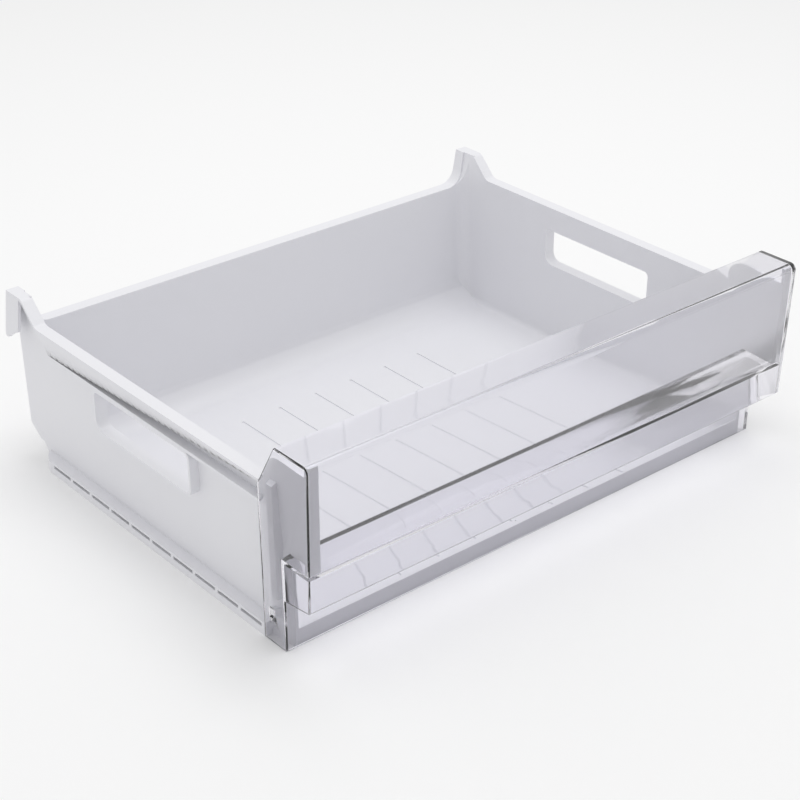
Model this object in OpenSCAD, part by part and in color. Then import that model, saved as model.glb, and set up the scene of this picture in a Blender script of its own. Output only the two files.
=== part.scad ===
// Freezer drawer: a moulded white tub that hangs on its rims, and a clear hooded front clipped to it.
// The part rests on z = 0, with x across the drawer, y running from the front to the rear.
// Inside the modules y = 0 is the outer face of the clear wall that stands on the base.

/* [Drawer] */
// Width over the runners
drawer_w = 430; // [330:1:560]
// Depth from the clear base wall to the rear edge
drawer_d = 318; // [260:1:460]
// Height of the side rims
rim_h = 114.4; // [106:0.2:128]
// Height of the rear rim
rear_rim_h = 104; // [90:0.5:112]
// Height of the four raised corners
ear_h = 131; // [126:0.5:139]

/* [Tub walls] */
// Thickness of the floor and the walls
wall = 2.4; // [1.8:0.1:3]
// Draft of the side walls, in degrees
side_draft = 1.1; // [0.5:0.1:2]
// Draft of the rear wall, in degrees
rear_draft = 4; // [1:0.5:6]
// Inside radius between the floor and the rear wall
cove_r = 24; // [12:1:36]
// Inside radius of the upright rear corners
corner_r = 12; // [6:1:18]
// Inside radius between the floor and the side walls
floor_fillet = 5; // [2:0.5:8]
// Height of the low front edge behind the clear wall
sill_h = 12; // [6:0.5:24]

/* [Rims and runner grooves] */
// Thickness of the rims and shelves
rim_t = 2.3; // [1.6:0.1:3]
// Height of the shelf under the runner groove
shelf_h = 100; // [92:0.5:104]
// Depth of the runner groove
groove_d = 7; // [4:0.5:9]
// Distance from the rear edge at which the groove starts to close
groove_stop = 51.6; // [44:0.2:80]

/* [Rear corners] */
// Length of each raised corner's flat top
ear_len = 17; // [12:0.5:24]
// Bend radius where a side rim climbs to its corner
ear_bend_r = 7; // [4:0.5:9]
// Slope of the climb, in degrees
ear_slope = 45; // [35:1:50]
// Depth of the rear flange
rear_flange = 8; // [5:0.5:12]
// Bend radius where the rear rim climbs to its corner
rear_bend_r = 14; // [8:0.5:20]
// Slope of the rear rim beside its corner, in degrees
rear_slope = 79; // [70:1:84]
// Drop of the outer tab at its rear end
tab_drop = 34; // [20:1:36]
// Rise of the tab's lower edge towards the front
tab_rise = 7; // [0:0.5:12]
// Outward flare of the tab, in degrees
tab_flare = 6.7; // [0:0.1:10]
// Corner radius of the tab
tab_r = 3; // [1:0.5:5]
// Height at which the rear fins start
fin_z = 24; // [18:1:30]

/* [Bottom runners] */
// Height of the bottom runners
runner_h = 9.8; // [8:0.2:13]
// Wall thickness of the bottom runners
runner_t = 1.7; // [1.4:0.1:2.2]
// Radius of their rear ends, seen from above
runner_end_r = 18; // [10:1:24]
// Distance from the rear edge to the end of the straight runner
runner_stop = 40.5; // [36:0.5:60]
// Number of slots in a runner
slot_count = 10; // [4:1:11]
// Distance between slots
slot_pitch = 25.2; // [20:0.2:26]
// Bridge left between slots
slot_rib = 3; // [2:0.5:6]
// Height of a slot
slot_h = 2.4; // [1.6:0.1:3.4]

/* [Hand holes] */
// Length of a hand hole
grip_len = 110; // [90:1:140]
// Height of a hand hole
grip_h = 29; // [22:0.5:34]
// Distance from the clear base wall to a hand hole
grip_y = 99.3; // [70:0.1:120]
// Wall thickness of the collar round a hand hole
collar_t = 2; // [1.5:0.1:3]
// Gap between the collar and the width over the runners
collar_inset = 0.5; // [0:0.1:2]
// Corner radius at the rear bottom
grip_rear_r = 8; // [3:0.5:12]
// Corner radius at the other corners
grip_r = 4; // [2:0.5:8]

/* [Floor grooves] */
// Number of grooves in the floor
floor_groove_count = 7; // [1:2:9]
// Distance between grooves
floor_groove_pitch = 34.5; // [24:0.5:36]
// Width of a groove
floor_groove_w = 1.8; // [1:0.1:3]
// Depth of a groove
floor_groove_depth = 0.7; // [0.3:0.1:1.1]
// Distance from the rear edge to the grooves
floor_groove_stop = 70; // [60:1:110]
// Distance from the base wall to the grooves
floor_groove_start = 26; // [20:1:60]

/* [Clear front] */
// Height of the hood over the drawer
hood_h = 144.2; // [142:0.2:160]
// Reach of the hood in front of the base wall
hood_reach = 27.7; // [22:0.1:40]
// Thickness of the clear walls
clear_t = 2.5; // [2:0.1:3]
// Backward lean of the front plate, in degrees
front_lean = 1.5; // [0:0.1:3]
// Outward lean of the cheeks, in degrees
cheek_lean = 0.6; // [0:0.1:1]
// Rounding along the hood's front top edge
hood_r = 5; // [3:0.5:8]
// Depth of the hood's top behind the base wall
hood_back = 3.8; // [2:0.1:10]
// Depth of the cheeks behind the base wall
cheek_d = 22; // [18:0.5:28]
// Height at which the cheeks start to slope forward
cheek_slope_z = 112.4; // [106:0.2:113]
// Height of the ledge between the base wall and the hood
ledge_h = 67.3; // [60:0.1:80]
// Height of the grip lip's lower edge at the front
lip_h = 41.6; // [34:0.1:50]
// Height of the grip lip's side walls where they meet the base wall
lip_side_h = 38.3; // [32:0.1:50]

/* [Clips and fit] */
// Running clearance between the tub and the clear front
fit = 0.3; // [0.2:0.05:0.4]
// Height of the clip windows' centre
clip_z = 22; // [16:0.5:40]
// Distance from the base wall to the clip windows' centre
clip_y = 14; // [11:0.5:15]
// Width of a clip window
clip_w = 5; // [3:0.5:6]
// Height of a clip window
clip_h = 7; // [4:0.5:10]
// Distance from the base wall to the locating ribs
rib_y = 9; // [6:0.5:10]
// Width of a locating rib
rib_w = 5.5; // [3:0.5:7]

/* [Hidden] */
$fn = 64;
// Spare length that carries a cut clear through
over = 1;
far = 400;
half_w = drawer_w / 2;
top_z = max(rim_h, ear_h) + over;

// Outer and inner faces of the drafted walls
function side_x(z) = half_w - groove_d + (z - shelf_h) * tan(side_draft);
function side_in_x(z) = side_x(z) - wall;
function rear_y(z) = drawer_d - rear_flange + (z - rear_rim_h) * tan(rear_draft);
function rear_in_y(z) = rear_y(z) - wall;

// Outer and inner faces of the clear front's plate and cheeks
function plate_y(z) = (hood_h - z) * tan(front_lean) - hood_reach;
function plate_in_y(z) = plate_y(z) + clear_t;
function cheek_x(z) = half_w + z * tan(cheek_lean);
function cheek_in_x(z) = cheek_x(z) - clear_t;

// The rounding along the hood's front top edge, and the middle of the whole part's depth
round_z = hood_h - hood_r;
round_y = plate_y(round_z) + hood_r / cos(front_lean);
centre_y = (drawer_d + round_y - hood_r) / 2;

// The sweep from the floor up to the rear wall
cove_z = wall + cove_r;
cove_y = rear_in_y(cove_z) - cove_r / cos(rear_draft);

// The tub starts behind the clear wall and its rims start behind the cheeks
tub_y = clear_t + fit;
rim_y = cheek_d + fit;
sill_t = wall;
wing_z = ledge_h + fit;
post_top = hood_h - clear_t - fit;

// The climb of a side rim to its raised rear corner
ear_y = drawer_d - ear_len;
climb = ear_h - rim_h;
climb_line = (climb - 2 * ear_bend_r * (1 - cos(ear_slope))) / sin(ear_slope);
climb_run = 2 * ear_bend_r * sin(ear_slope) + climb_line * cos(ear_slope);
climb_y = ear_y - climb_run;

// The climb of the rear rim, from its bend up to the corner's inner edge
ear_in_x = side_in_x(ear_h) - over;
bend_rise = rear_bend_r * (1 - cos(rear_slope));
bend_run = rear_bend_r * sin(rear_slope);
bend_x = ear_in_x - (ear_h - rear_rim_h - bend_rise) / tan(rear_slope) - bend_run;

// The hand hole hangs its collar under the shelf
grip_top = shelf_h - rim_t - collar_t;
grip_z = grip_top - grip_h;

// The slots are shared out over the straight part of a runner
runner_len = drawer_d - runner_stop - rim_y;
slots_len = slot_count * slot_pitch;
slot_y0 = rim_y + (runner_len - slots_len) / 2;
slot_top = runner_h - runner_t;

// Draws a side view, given as (y, z), as a solid between two places across the drawer
module side_view(from, to) {
  translate([from, 0, 0]) rotate([90, 0, 90]) linear_extrude(to - from) children();
}

// Draws a front view, given as (x, z), as a solid between two depths
module front_view(from, to) {
  translate([0, to, 0]) rotate([90, 0, 0]) linear_extrude(to - from) children();
}

// Repeats what stands on the right also on the left
module both_sides() {
  children();
  mirror([1, 0, 0]) children();
}

// A rectangle with its own radius at the corner of its largest y and smallest z
module grip_shape(grow) {
  y0 = grip_y - grow;
  y1 = grip_y + grip_len + grow;
  z0 = grip_z - grow;
  z1 = grip_top + grow;
  r = grip_r + grow;
  rear_r = grip_rear_r + grow;
  translate([y0 + r, z0]) square([y1 - y0 - r - rear_r, z1 - z0 - rear_r]);
  translate([y0 + r, z0 + rear_r]) square([y1 - y0 - 2 * r, z1 - z0 - rear_r]);
  translate([y0, z0 + r]) square([2 * r, z1 - z0 - 2 * r]);
  translate([y1 - 2 * r, z0 + rear_r]) square([2 * r, z1 - z0 - rear_r - r]);
  translate([y0 + r, z0 + r]) circle(r);
  translate([y0 + r, z1 - r]) circle(r);
  translate([y1 - r, z1 - r]) circle(r);
  translate([y1 - rear_r, z0 + rear_r]) circle(rear_r);
}

// Side view of all that lies under the side rim, with the rim's surface lowered by drop
module under_rim(drop) {
  low_r = ear_bend_r + drop;
  high_r = ear_bend_r - drop;
  difference() {
    polygon([
      [rim_y, shelf_h],
      [drawer_d, shelf_h],
      [drawer_d, ear_h - drop],
      [ear_y, ear_h - drop],
      [ear_y - high_r * sin(ear_slope), ear_h - ear_bend_r + high_r * cos(ear_slope)],
      [climb_y + low_r * sin(ear_slope), rim_h + ear_bend_r - low_r * cos(ear_slope)],
      [climb_y, rim_h - drop],
      [rim_y, rim_h - drop]
    ]);
    translate([climb_y, rim_h + ear_bend_r]) circle(low_r);
  }
  translate([ear_y, ear_h - ear_bend_r]) circle(high_r);
}

// Side view of the raised front corner, which reaches forward over the ledge into the hood
module front_wing() {
  wing_r = ear_h - rim_h;
  polygon([
    [tub_y, 0],
    [rim_y, 0],
    [rim_y, rim_h],
    [cheek_d - over, rim_h],
    [cheek_d - over - wing_r, ear_h],
    [plate_in_y(ear_h) + fit, ear_h],
    [plate_in_y(wing_z) + fit, wing_z],
    [tub_y, wing_z]
  ]);
  intersection() {
    translate([cheek_d - over - wing_r, rim_h]) circle(wing_r);
    translate([cheek_d - over - wing_r, rim_h]) square(wing_r);
  }
}

// Side view of the floor, the cove and the rear wall as one solid of full height
module tub_profile(inset) {
  r = cove_r + wall - inset;
  polygon([
    [tub_y, inset],
    [cove_y, inset],
    [cove_y, cove_z],
    [cove_y + r * cos(rear_draft), cove_z - r * sin(rear_draft)],
    [rear_y(top_z) - inset, top_z],
    [tub_y, top_z]
  ]);
  translate([cove_y, cove_z]) circle(r);
}

// Side view of the tub without its fins
module tub_side() {
  intersection() {
    tub_profile(0);
    union() {
      translate([tub_y, 0]) square([drawer_d, shelf_h]);
      under_rim(0);
    }
  }
  front_wing();
}

// Front view of half the tub, under the rear rim lowered by drop
module tub_front_half(drop) {
  r = rear_bend_r + drop;
  difference() {
    polygon([
      [0, 0],
      [side_x(0), 0],
      [side_x(ear_h), ear_h],
      [ear_in_x + drop, ear_h],
      [bend_x + r * sin(rear_slope), rear_rim_h + rear_bend_r - r * cos(rear_slope)],
      [bend_x, rear_rim_h - drop],
      [0, rear_rim_h - drop]
    ]);
    translate([bend_x, rear_rim_h + rear_bend_r]) circle(r);
  }
}

// Front view of half the space inside the tub
module space_front_half() {
  low_x = side_in_x(wall) - floor_fillet;
  polygon([
    [-over, wall],
    [low_x, wall],
    [low_x + floor_fillet * cos(side_draft), wall + floor_fillet * (1 - sin(side_draft))],
    [side_in_x(top_z), top_z],
    [-over, top_z]
  ]);
  translate([low_x, wall + floor_fillet]) circle(floor_fillet);
}

// The rounded fill of an upright rear corner, buried in the walls that meet there
module corner_fill() {
  seat = corner_r * 0.995;
  axis_x = side_in_x(0) - seat / cos(side_draft);
  axis_y = rear_in_y(0) - seat / cos(rear_draft);
  reach = corner_r + wall / 2;
  intersection() {
    translate([axis_x, axis_y, 0]) rotate([-rear_draft, side_draft, 0]) difference() {
      translate([0, 0, -far / 2]) cube([reach, reach, far]);
      translate([0, 0, -far / 2]) cylinder(h = far, r = corner_r);
    }
    side_view(0, half_w) tub_profile(wall / 2);
    front_view(0, drawer_d) tub_front_half(rim_t / 2);
  }
}

// The space inside the tub, open at the top and above the low front edge
module tub_space() {
  intersection() {
    side_view(-far, far) difference() {
      union() {
        tub_profile(wall);
        translate([-far, sill_h]) square([far + cheek_d, far]);
      }
      translate([tub_y - over, 0]) square([sill_t + over, sill_h]);
    }
    front_view(-far, far) {
      space_front_half();
      mirror([1, 0]) space_front_half();
    }
  }
}

// Floor, side walls and rear wall
module tub_shell() {
  difference() {
    intersection() {
      side_view(-far, far) tub_side();
      front_view(-far, far) {
        tub_front_half(0);
        mirror([1, 0]) tub_front_half(0);
      }
    }
    tub_space();
  }
}

// The side walls run on behind the rear wall as fins
module rear_fin() {
  bevel = drawer_d - cove_y;
  intersection() {
    side_view(0, half_w) intersection() {
      polygon([
        [cove_y, runner_h],
        [drawer_d - fin_z / 2, runner_h + fin_z / 6],
        [drawer_d - over, fin_z - over * 2],
        [drawer_d, fin_z],
        [drawer_d, ear_h],
        [drawer_d - bevel, ear_h]
      ]);
      union() {
        translate([cove_y, 0]) square([bevel, shelf_h]);
        under_rim(0);
      }
    }
    front_view(0, far) polygon([
      [side_in_x(0), 0],
      [side_x(0), 0],
      [side_x(ear_h), ear_h],
      [side_in_x(ear_h), ear_h]
    ]);
    side_view(0, half_w) difference() {
      translate([cove_y, 0]) square([bevel, ear_h]);
      tub_profile(wall / 2);
    }
  }
}

// The rim along a side and over its raised rear corner
module side_rim() {
  side_view(side_x(rim_h) - wall / 2, half_w) difference() {
    under_rim(0);
    under_rim(rim_t);
  }
}

// The shelf under the runner groove, which climbs at the rear to close the groove
module groove_shelf() {
  stop_y = drawer_d - groove_stop;
  lean = rim_t / 2;
  side_view(side_x(shelf_h) - wall / 2, half_w) polygon([
    [rim_y, shelf_h - rim_t],
    [stop_y + lean, shelf_h - rim_t],
    [climb_y + lean, rim_h - rim_t],
    [climb_y + lean, rim_h - rim_t / 2],
    [climb_y - lean, rim_h - rim_t / 2],
    [stop_y, shelf_h],
    [rim_y, shelf_h]
  ]);
}

// The flange along the rear wall and up to its corners
module rear_rim() {
  intersection() {
    front_view(rear_in_y(rear_rim_h) + wall / 2, drawer_d) difference() {
      tub_front_half(0);
      tub_front_half(rim_t);
    }
    translate([0, 0, shelf_h - rim_t]) cube([half_w, drawer_d, far]);
  }
}

// The tab that hangs from the outer edge of a raised corner
module ear_tab() {
  low_z = ear_h - tab_drop;
  high_z = low_z + tab_rise;
  translate([half_w, 0, ear_h]) rotate([0, -tab_flare, 0]) translate([-rim_t, 0, -ear_h])
  side_view(0, rim_t) {
    polygon([
      [ear_y, ear_h],
      [ear_y, high_z + tab_r],
      [ear_y + tab_r, high_z],
      [drawer_d - tab_r, low_z],
      [drawer_d, low_z + tab_r],
      [drawer_d, ear_h]
    ]);
    translate([ear_y + tab_r, high_z + tab_r]) circle(tab_r);
    translate([drawer_d - tab_r, low_z + tab_r]) circle(tab_r);
  }
}

// Plan of a bottom runner with its rounded rear end, drawn inset from the outer face
module runner_plan(inset) {
  stop_y = drawer_d - runner_stop;
  r = runner_end_r - inset;
  x0 = side_in_x(0) + (inset > 0 ? wall : 0);
  intersection() {
    translate([x0, rim_y + inset]) square([half_w - inset - x0, drawer_d]);
    union() {
      translate([0, rim_y]) square([half_w, stop_y - rim_y]);
      translate([half_w - runner_end_r, stop_y]) circle(r);
      translate([0, stop_y - over]) square([half_w - runner_end_r, r + over]);
    }
  }
}

// A bottom runner: a channel open underneath, with a row of slots in its outer wall
module bottom_runner() {
  difference() {
    linear_extrude(runner_h) runner_plan(0);
    translate([0, 0, -over]) linear_extrude(runner_h - runner_t + over) runner_plan(runner_t);
    for (i = [0 : slot_count - 1])
      translate([half_w - runner_t - over, slot_y0 + i * slot_pitch + slot_rib / 2, slot_top - slot_h])
        cube([runner_t + 2 * over, slot_pitch - slot_rib, slot_h]);
  }
}

// The collar that stands out round a hand hole
module grip_collar() {
  side_view(side_x(grip_z) - wall / 2, half_w - collar_inset) grip_shape(collar_t);
}

module grip_opening() {
  side_view(side_in_x(0) - wall - floor_fillet, half_w + over) grip_shape(0);
}

// The rib that seats a cheek and the post behind the hood's front corner
module front_supports() {
  front_view(rib_y, rib_y + rib_w) polygon([
    [side_x(sill_h + clip_z) - wall / 2, sill_h + clip_z],
    [cheek_in_x(sill_h + clip_z) - fit, sill_h + clip_z],
    [cheek_in_x(rim_h) - fit, rim_h],
    [side_x(rim_h) - wall / 2, rim_h]
  ]);
  side_view(side_in_x(ear_h), cheek_in_x(wing_z) - fit) polygon([
    [plate_in_y(wing_z) + fit, wing_z],
    [plate_in_y(wing_z) + fit + wall, wing_z],
    [plate_in_y(post_top) + fit + wall, post_top],
    [plate_in_y(post_top) + fit, post_top]
  ]);
}

// The hook that springs into a cheek's window
module clip_hook() {
  hook_w = clip_w - 2 * fit;
  hook_h = clip_h - 2 * fit;
  front_view(clip_y - hook_w / 2, clip_y + hook_w / 2) polygon([
    [side_x(clip_z) - wall / 2, clip_z - hook_h / 2],
    [half_w - clear_t - fit, clip_z - hook_h / 2],
    [half_w - over / 2, clip_z - hook_h / 4],
    [half_w - over / 2, clip_z + hook_h / 2],
    [side_x(clip_z) - wall / 2, clip_z + hook_h / 2]
  ]);
}

module floor_grooves() {
  groove_end = drawer_d - floor_groove_stop;
  for (i = [0 : floor_groove_count - 1])
    translate([
      (i - (floor_groove_count - 1) / 2) * floor_groove_pitch - floor_groove_w / 2,
      floor_groove_start,
      wall - floor_groove_depth
    ])
      cube([floor_groove_w, groove_end - floor_groove_start, floor_groove_depth + over]);
}

module tub() {
  color("white") translate([0, -centre_y, 0]) difference() {
    union() {
      tub_shell();
      both_sides() {
        corner_fill();
        rear_fin();
        side_rim();
        groove_shelf();
        rear_rim();
        ear_tab();
        bottom_runner();
        grip_collar();
        front_supports();
        clip_hook();
      }
    }
    both_sides() grip_opening();
    floor_grooves();
  }
}

// Side view of the clear front
module hood_side() {
  polygon([
    [0, 0],
    [cheek_d, 0],
    [cheek_d, cheek_slope_z],
    [hood_back, hood_h],
    [round_y, hood_h],
    [round_y - hood_r * cos(front_lean), round_z - hood_r * sin(front_lean)],
    [plate_y(lip_h), lip_h],
    [0, lip_side_h]
  ]);
  translate([round_y, round_z]) circle(hood_r);
}

// Side view of the space behind the clear walls and under the hood
module hood_space() {
  r = hood_r - clear_t;
  polygon([
    [clear_t, -over],
    [far, -over],
    [far, hood_h - clear_t],
    [round_y, hood_h - clear_t],
    [round_y - r * cos(front_lean), round_z - r * sin(front_lean)],
    [plate_in_y(ledge_h), ledge_h],
    [clear_t, ledge_h]
  ]);
  translate([round_y, round_z]) circle(r);
}

// Side view of the space for the fingers behind the lip
module grip_space() {
  roof = ledge_h - clear_t;
  polygon([
    [0, -over],
    [0, roof],
    [plate_in_y(roof), roof],
    [plate_in_y(-over), -over]
  ]);
}

// Front view of the clear front between its cheeks, inset from their outer faces
module cheek_front(inset) {
  polygon([
    [inset - cheek_x(-over), -over],
    [cheek_x(-over) - inset, -over],
    [cheek_x(hood_h) - inset, hood_h],
    [inset - cheek_x(hood_h), hood_h]
  ]);
}

module front_panel() {
  color([0.85, 0.85, 0.9, 0.45]) translate([0, -centre_y, 0]) difference() {
    intersection() {
      side_view(-far, far) hood_side();
      front_view(-far, far) cheek_front(0);
    }
    intersection() {
      side_view(-far, far) {
        hood_space();
        grip_space();
      }
      front_view(-far, 2 * far) cheek_front(clear_t);
    }
    both_sides() side_view(half_w - clear_t - over, half_w + 2 * over)
      translate([clip_y - clip_w / 2, clip_z - clip_h / 2]) square([clip_w, clip_h]);
  }
}

tub();
front_panel();
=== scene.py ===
import bpy
from math import radians
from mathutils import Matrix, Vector


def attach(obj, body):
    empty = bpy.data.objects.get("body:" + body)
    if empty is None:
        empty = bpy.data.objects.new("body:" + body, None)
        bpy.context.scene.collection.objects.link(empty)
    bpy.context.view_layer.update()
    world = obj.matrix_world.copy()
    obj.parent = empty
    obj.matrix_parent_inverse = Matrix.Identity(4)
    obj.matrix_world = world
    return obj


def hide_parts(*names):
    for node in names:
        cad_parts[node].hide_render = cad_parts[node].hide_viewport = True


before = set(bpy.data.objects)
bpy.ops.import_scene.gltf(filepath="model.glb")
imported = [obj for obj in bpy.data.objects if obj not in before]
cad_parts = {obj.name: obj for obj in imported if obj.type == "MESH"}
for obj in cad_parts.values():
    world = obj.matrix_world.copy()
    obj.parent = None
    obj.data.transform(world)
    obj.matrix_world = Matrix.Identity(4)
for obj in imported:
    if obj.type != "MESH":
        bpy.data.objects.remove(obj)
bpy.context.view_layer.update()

# The drawer is seen from its left front corner and from above, so that the clear front,
# the left side and the inside of the tub all show. The lens and the place come from the
# vanishing lines of the rims and runners.
CAMERA_PLACE = (-0.7462, -0.8832, 0.6761)
CAMERA_DOWN = 28.825
CAMERA_TURN = -40.148
LENS = 82.0

bpy.ops.object.select_all(action="DESELECT")
bpy.ops.object.camera_add(location=CAMERA_PLACE)
camera = bpy.context.object
camera.name = "camera"
camera.rotation_euler = (radians(90 - CAMERA_DOWN), 0, radians(CAMERA_TURN))
camera.data.lens = LENS
camera.data.sensor_width = 36
camera.data.clip_end = 20
bpy.context.scene.camera = camera


# The tub is one injection moulding in white polypropylene. Its skin is satin, with a very
# fine unevenness from the cooling of thin walls, and its edges are rounded where the two
# halves of the mould meet.
EDGE_ROUND = 0.0004


def moulded_copy(node, name):
    """A piece with the form of a CAD node, its triangles joined into one clean shell."""
    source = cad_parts[node]
    piece = bpy.data.objects.new(name, source.data.copy())
    bpy.context.collection.objects.link(piece)
    bpy.ops.object.select_all(action="DESELECT")
    piece.select_set(True)
    bpy.context.view_layer.objects.active = piece
    piece.data.materials.clear()
    bpy.ops.object.mode_set(mode="EDIT")
    bpy.ops.mesh.select_all(action="SELECT")
    bpy.ops.mesh.remove_doubles(threshold=0.00001)
    bpy.ops.mesh.customdata_custom_splitnormals_clear()
    bpy.ops.mesh.dissolve_limited(angle_limit=radians(0.5))
    bpy.ops.object.mode_set(mode="OBJECT")
    return piece


def surface_group():
    """Shallow unevenness and a slow change of gloss, as every moulded wall here has."""
    group = bpy.data.node_groups.new("moulded_skin", "ShaderNodeTree")
    face = group.interface
    for label, value in (("Grain Size", 900.0), ("Flow Size", 14.0), ("Gloss", 0.4), ("Gloss Change", 0.08)):
        face.new_socket(label, in_out="INPUT", socket_type="NodeSocketFloat").default_value = value
    face.new_socket("Roughness", in_out="OUTPUT", socket_type="NodeSocketFloat")
    face.new_socket("Grain", in_out="OUTPUT", socket_type="NodeSocketFloat")
    face.new_socket("Flow", in_out="OUTPUT", socket_type="NodeSocketFloat")
    nodes, links = group.nodes, group.links
    start = nodes.new("NodeGroupInput")
    end = nodes.new("NodeGroupOutput")
    place = nodes.new("ShaderNodeTexCoord")
    grain = nodes.new("ShaderNodeTexNoise")
    flow = nodes.new("ShaderNodeTexNoise")
    spread = nodes.new("ShaderNodeMapRange")
    lift = nodes.new("ShaderNodeMath")
    grain.inputs["Detail"].default_value = 2
    flow.inputs["Detail"].default_value = 3
    spread.inputs["To Min"].default_value = -1
    lift.operation = "MULTIPLY_ADD"
    for texture, size in ((grain, "Grain Size"), (flow, "Flow Size")):
        links.new(place.outputs["Object"], texture.inputs["Vector"])
        links.new(start.outputs[size], texture.inputs["Scale"])
    links.new(flow.outputs["Fac"], spread.inputs["Value"])
    links.new(spread.outputs["Result"], lift.inputs[0])
    links.new(start.outputs["Gloss Change"], lift.inputs[1])
    links.new(start.outputs["Gloss"], lift.inputs[2])
    links.new(lift.outputs["Value"], end.inputs["Roughness"])
    links.new(grain.outputs["Fac"], end.inputs["Grain"])
    links.new(flow.outputs["Fac"], end.inputs["Flow"])
    return group


moulded_skin = surface_group()


def white_plastic():
    """White polypropylene, satin, its tone varying faintly and slowly over the surface."""
    material = bpy.data.materials.new("white_plastic")
    material.use_nodes = True
    nodes, links = material.node_tree.nodes, material.node_tree.links
    shader = nodes["Principled BSDF"]
    skin = nodes.new("ShaderNodeGroup")
    skin.node_tree = moulded_skin
    skin.inputs["Gloss"].default_value = 0.38
    skin.inputs["Gloss Change"].default_value = 0.05
    tint = nodes.new("ShaderNodeMix")
    tint.data_type = "RGBA"
    tint.inputs["A"].default_value = (0.80, 0.80, 0.835, 1)
    tint.inputs["B"].default_value = (0.82, 0.82, 0.85, 1)
    bump = nodes.new("ShaderNodeBump")
    bump.inputs["Strength"].default_value = 0.08
    bump.inputs["Distance"].default_value = 0.0002
    links.new(skin.outputs["Flow"], tint.inputs["Factor"])
    links.new(tint.outputs["Result"], shader.inputs["Base Color"])
    links.new(skin.outputs["Roughness"], shader.inputs["Roughness"])
    links.new(skin.outputs["Grain"], bump.inputs["Height"])
    links.new(bump.outputs["Normal"], shader.inputs["Normal"])
    shader.inputs["IOR"].default_value = 1.49
    return material


tub = moulded_copy("tub", "tub_moulding")
tub.data.materials.append(white_plastic())
bpy.ops.object.modifier_add(type="BEVEL")
rounding = tub.modifiers[-1]
rounding.width = EDGE_ROUND
rounding.segments = 2
rounding.limit_method = "ANGLE"
rounding.angle_limit = radians(25)
rounding.harden_normals = False
bpy.ops.object.modifier_apply(modifier=rounding.name)
bpy.ops.object.shade_smooth_by_angle(angle=radians(24))
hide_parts("tub")
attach(tub, "root")


# The front is one moulding in clear polystyrene. Its faces are polished, and its cut edges
# look grey because they carry light through the length of the wall.
def clear_plastic():
    """Clear polystyrene, polished, with a faint grey-violet cast through its thickness."""
    material = bpy.data.materials.new("clear_plastic")
    material.use_nodes = True
    nodes, links = material.node_tree.nodes, material.node_tree.links
    shader = nodes["Principled BSDF"]
    output = nodes["Material Output"]
    skin = nodes.new("ShaderNodeGroup")
    skin.node_tree = moulded_skin
    skin.inputs["Gloss"].default_value = 0.05
    skin.inputs["Gloss Change"].default_value = 0.02
    links.new(skin.outputs["Roughness"], shader.inputs["Roughness"])
    shader.inputs["Base Color"].default_value = (0.93, 0.925, 0.955, 1)
    shader.inputs["IOR"].default_value = 1.45
    shader.inputs["Transmission Weight"].default_value = 1
    clear = nodes.new("ShaderNodeBsdfTransparent")
    clear.inputs["Color"].default_value = (0.94, 0.94, 0.96, 1)
    path = nodes.new("ShaderNodeLightPath")
    choose = nodes.new("ShaderNodeMixShader")
    links.new(path.outputs["Is Shadow Ray"], choose.inputs["Fac"])
    links.new(shader.outputs["BSDF"], choose.inputs[1])
    links.new(clear.outputs["BSDF"], choose.inputs[2])
    links.new(choose.outputs["Shader"], output.inputs["Surface"])
    return material


front = moulded_copy("front_panel", "clear_front")
front.data.materials.append(clear_plastic())
bpy.ops.object.modifier_add(type="BEVEL")
rounding = front.modifiers[-1]
rounding.width = EDGE_ROUND
rounding.segments = 2
rounding.limit_method = "ANGLE"
rounding.angle_limit = radians(25)
bpy.ops.object.modifier_apply(modifier=rounding.name)
bpy.ops.object.shade_smooth_by_angle(angle=radians(24))
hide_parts("front_panel")
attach(front, "root")


# The stage is a plain white floor under soft white light from all round, with a larger
# lamp overhead, so the upward faces are the brightest, as on a light table.
FLOOR_SIZE = 30


def stage_white(name, shade):
    """A matt white that fills in as clear white wherever no shadow falls."""
    material = bpy.data.materials.new(name)
    material.use_nodes = True
    shader = material.node_tree.nodes["Principled BSDF"]
    shader.inputs["Base Color"].default_value = (shade, shade, shade, 1)
    shader.inputs["Roughness"].default_value = 0.9
    shader.inputs["Specular IOR Level"].default_value = 0
    return material


bpy.ops.object.select_all(action="DESELECT")
bpy.ops.mesh.primitive_plane_add(size=FLOOR_SIZE, location=(0, 0, 0))
floor = bpy.context.object
floor.name = "floor"
floor.data.materials.append(stage_white("floor_white", 0.93))

world = bpy.context.scene.world or bpy.data.worlds.new("world")
bpy.context.scene.world = world
world.use_nodes = True
sky = world.node_tree.nodes["Background"]
sky.inputs["Color"].default_value = (1, 1, 1, 1)
sky.inputs["Strength"].default_value = 0.75


def lamp(name, place, aim, size, power):
    """A square soft box that faces a point."""
    bpy.ops.object.light_add(type="AREA", location=place)
    light = bpy.context.object
    light.name = name
    light.data.size = size
    light.data.energy = power
    light.rotation_euler = (Vector(aim) - Vector(place)).to_track_quat("-Z", "Y").to_euler()
    return light


lamp("overhead", (0.2, 0.1, 2.0), (0, 0, 0), 1.6, 14)
bpy.context.scene.view_settings.view_transform = "Standard"
